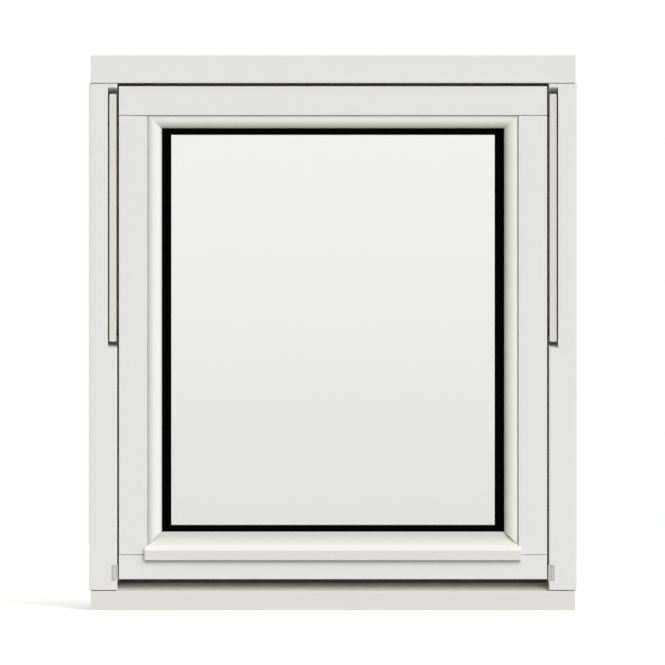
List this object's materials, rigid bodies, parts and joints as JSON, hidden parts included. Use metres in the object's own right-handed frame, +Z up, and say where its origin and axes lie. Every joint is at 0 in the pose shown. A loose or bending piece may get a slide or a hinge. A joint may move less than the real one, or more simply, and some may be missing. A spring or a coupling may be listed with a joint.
{
  "type": "top swing window",
  "caption": "White timber outward-opening top swing window: frame, glazed sash with moulded beads, and swing arms lying in slots of the jambs.",
  "frame": {"origin": "middle of the sill's underside, half way through the frame's depth", "axes": "+X to the right seen from outside, +Y from outside to the room, +Z up"},
  "size_m": [0.833, 0.1225, 0.948],
  "materials": {
    "painted_timber": "white satin paint on pine",
    "sill_timber": "white satin paint",
    "glass": "clear float glass",
    "spacer": "black warm-edge bar",
    "gasket": "matt black",
    "seal": "matt black",
    "arm_metal": "pale grey powder coat",
    "pivot_metal": "black zinc plated",
    "track_metal": "mill finish",
    "grey_plastic": "moulded grey nylon",
    "handle": "satin anodised"
  },
  "bodies": {
    "root": {"head": "painted_timber", "sill": "sill_timber", "jamb_left": "painted_timber", "jamb_right": "painted_timber", "sash_top_rail": "painted_timber", "sash_bottom_rail": "painted_timber", "sash_stile_left": "painted_timber", "sash_stile_right": "painted_timber", "bead_top": "painted_timber", "bead_left": "painted_timber", "bead_right": "painted_timber", "bead_bottom": "painted_timber", "outer_pane": "glass", "inner_pane": "glass", "spacer": "spacer", "glazing_tape": "gasket", "setting_blocks": "grey_plastic", "handle_plate": "handle", "handle_lever": "handle", "frame_seal_head": "seal", "frame_seal_sill": "seal", "frame_seal_left": "seal", "frame_seal_right": "seal", "glazing_gasket_top": "gasket", "glazing_gasket_bottom": "gasket", "glazing_gasket_left": "gasket", "glazing_gasket_right": "gasket", "swing_arm_left": "arm_metal", "swing_arm_right": "arm_metal", "frame_pivot_left": "pivot_metal", "frame_pivot_right": "pivot_metal", "sash_pivot_left": "pivot_metal", "sash_pivot_right": "pivot_metal", "slide_track_left": "track_metal", "slide_track_right": "track_metal", "slide_shoe_left": "grey_plastic", "slide_shoe_right": "grey_plastic", "guide_block_left": "grey_plastic", "guide_block_right": "grey_plastic"}
  },
  "joints": []
}
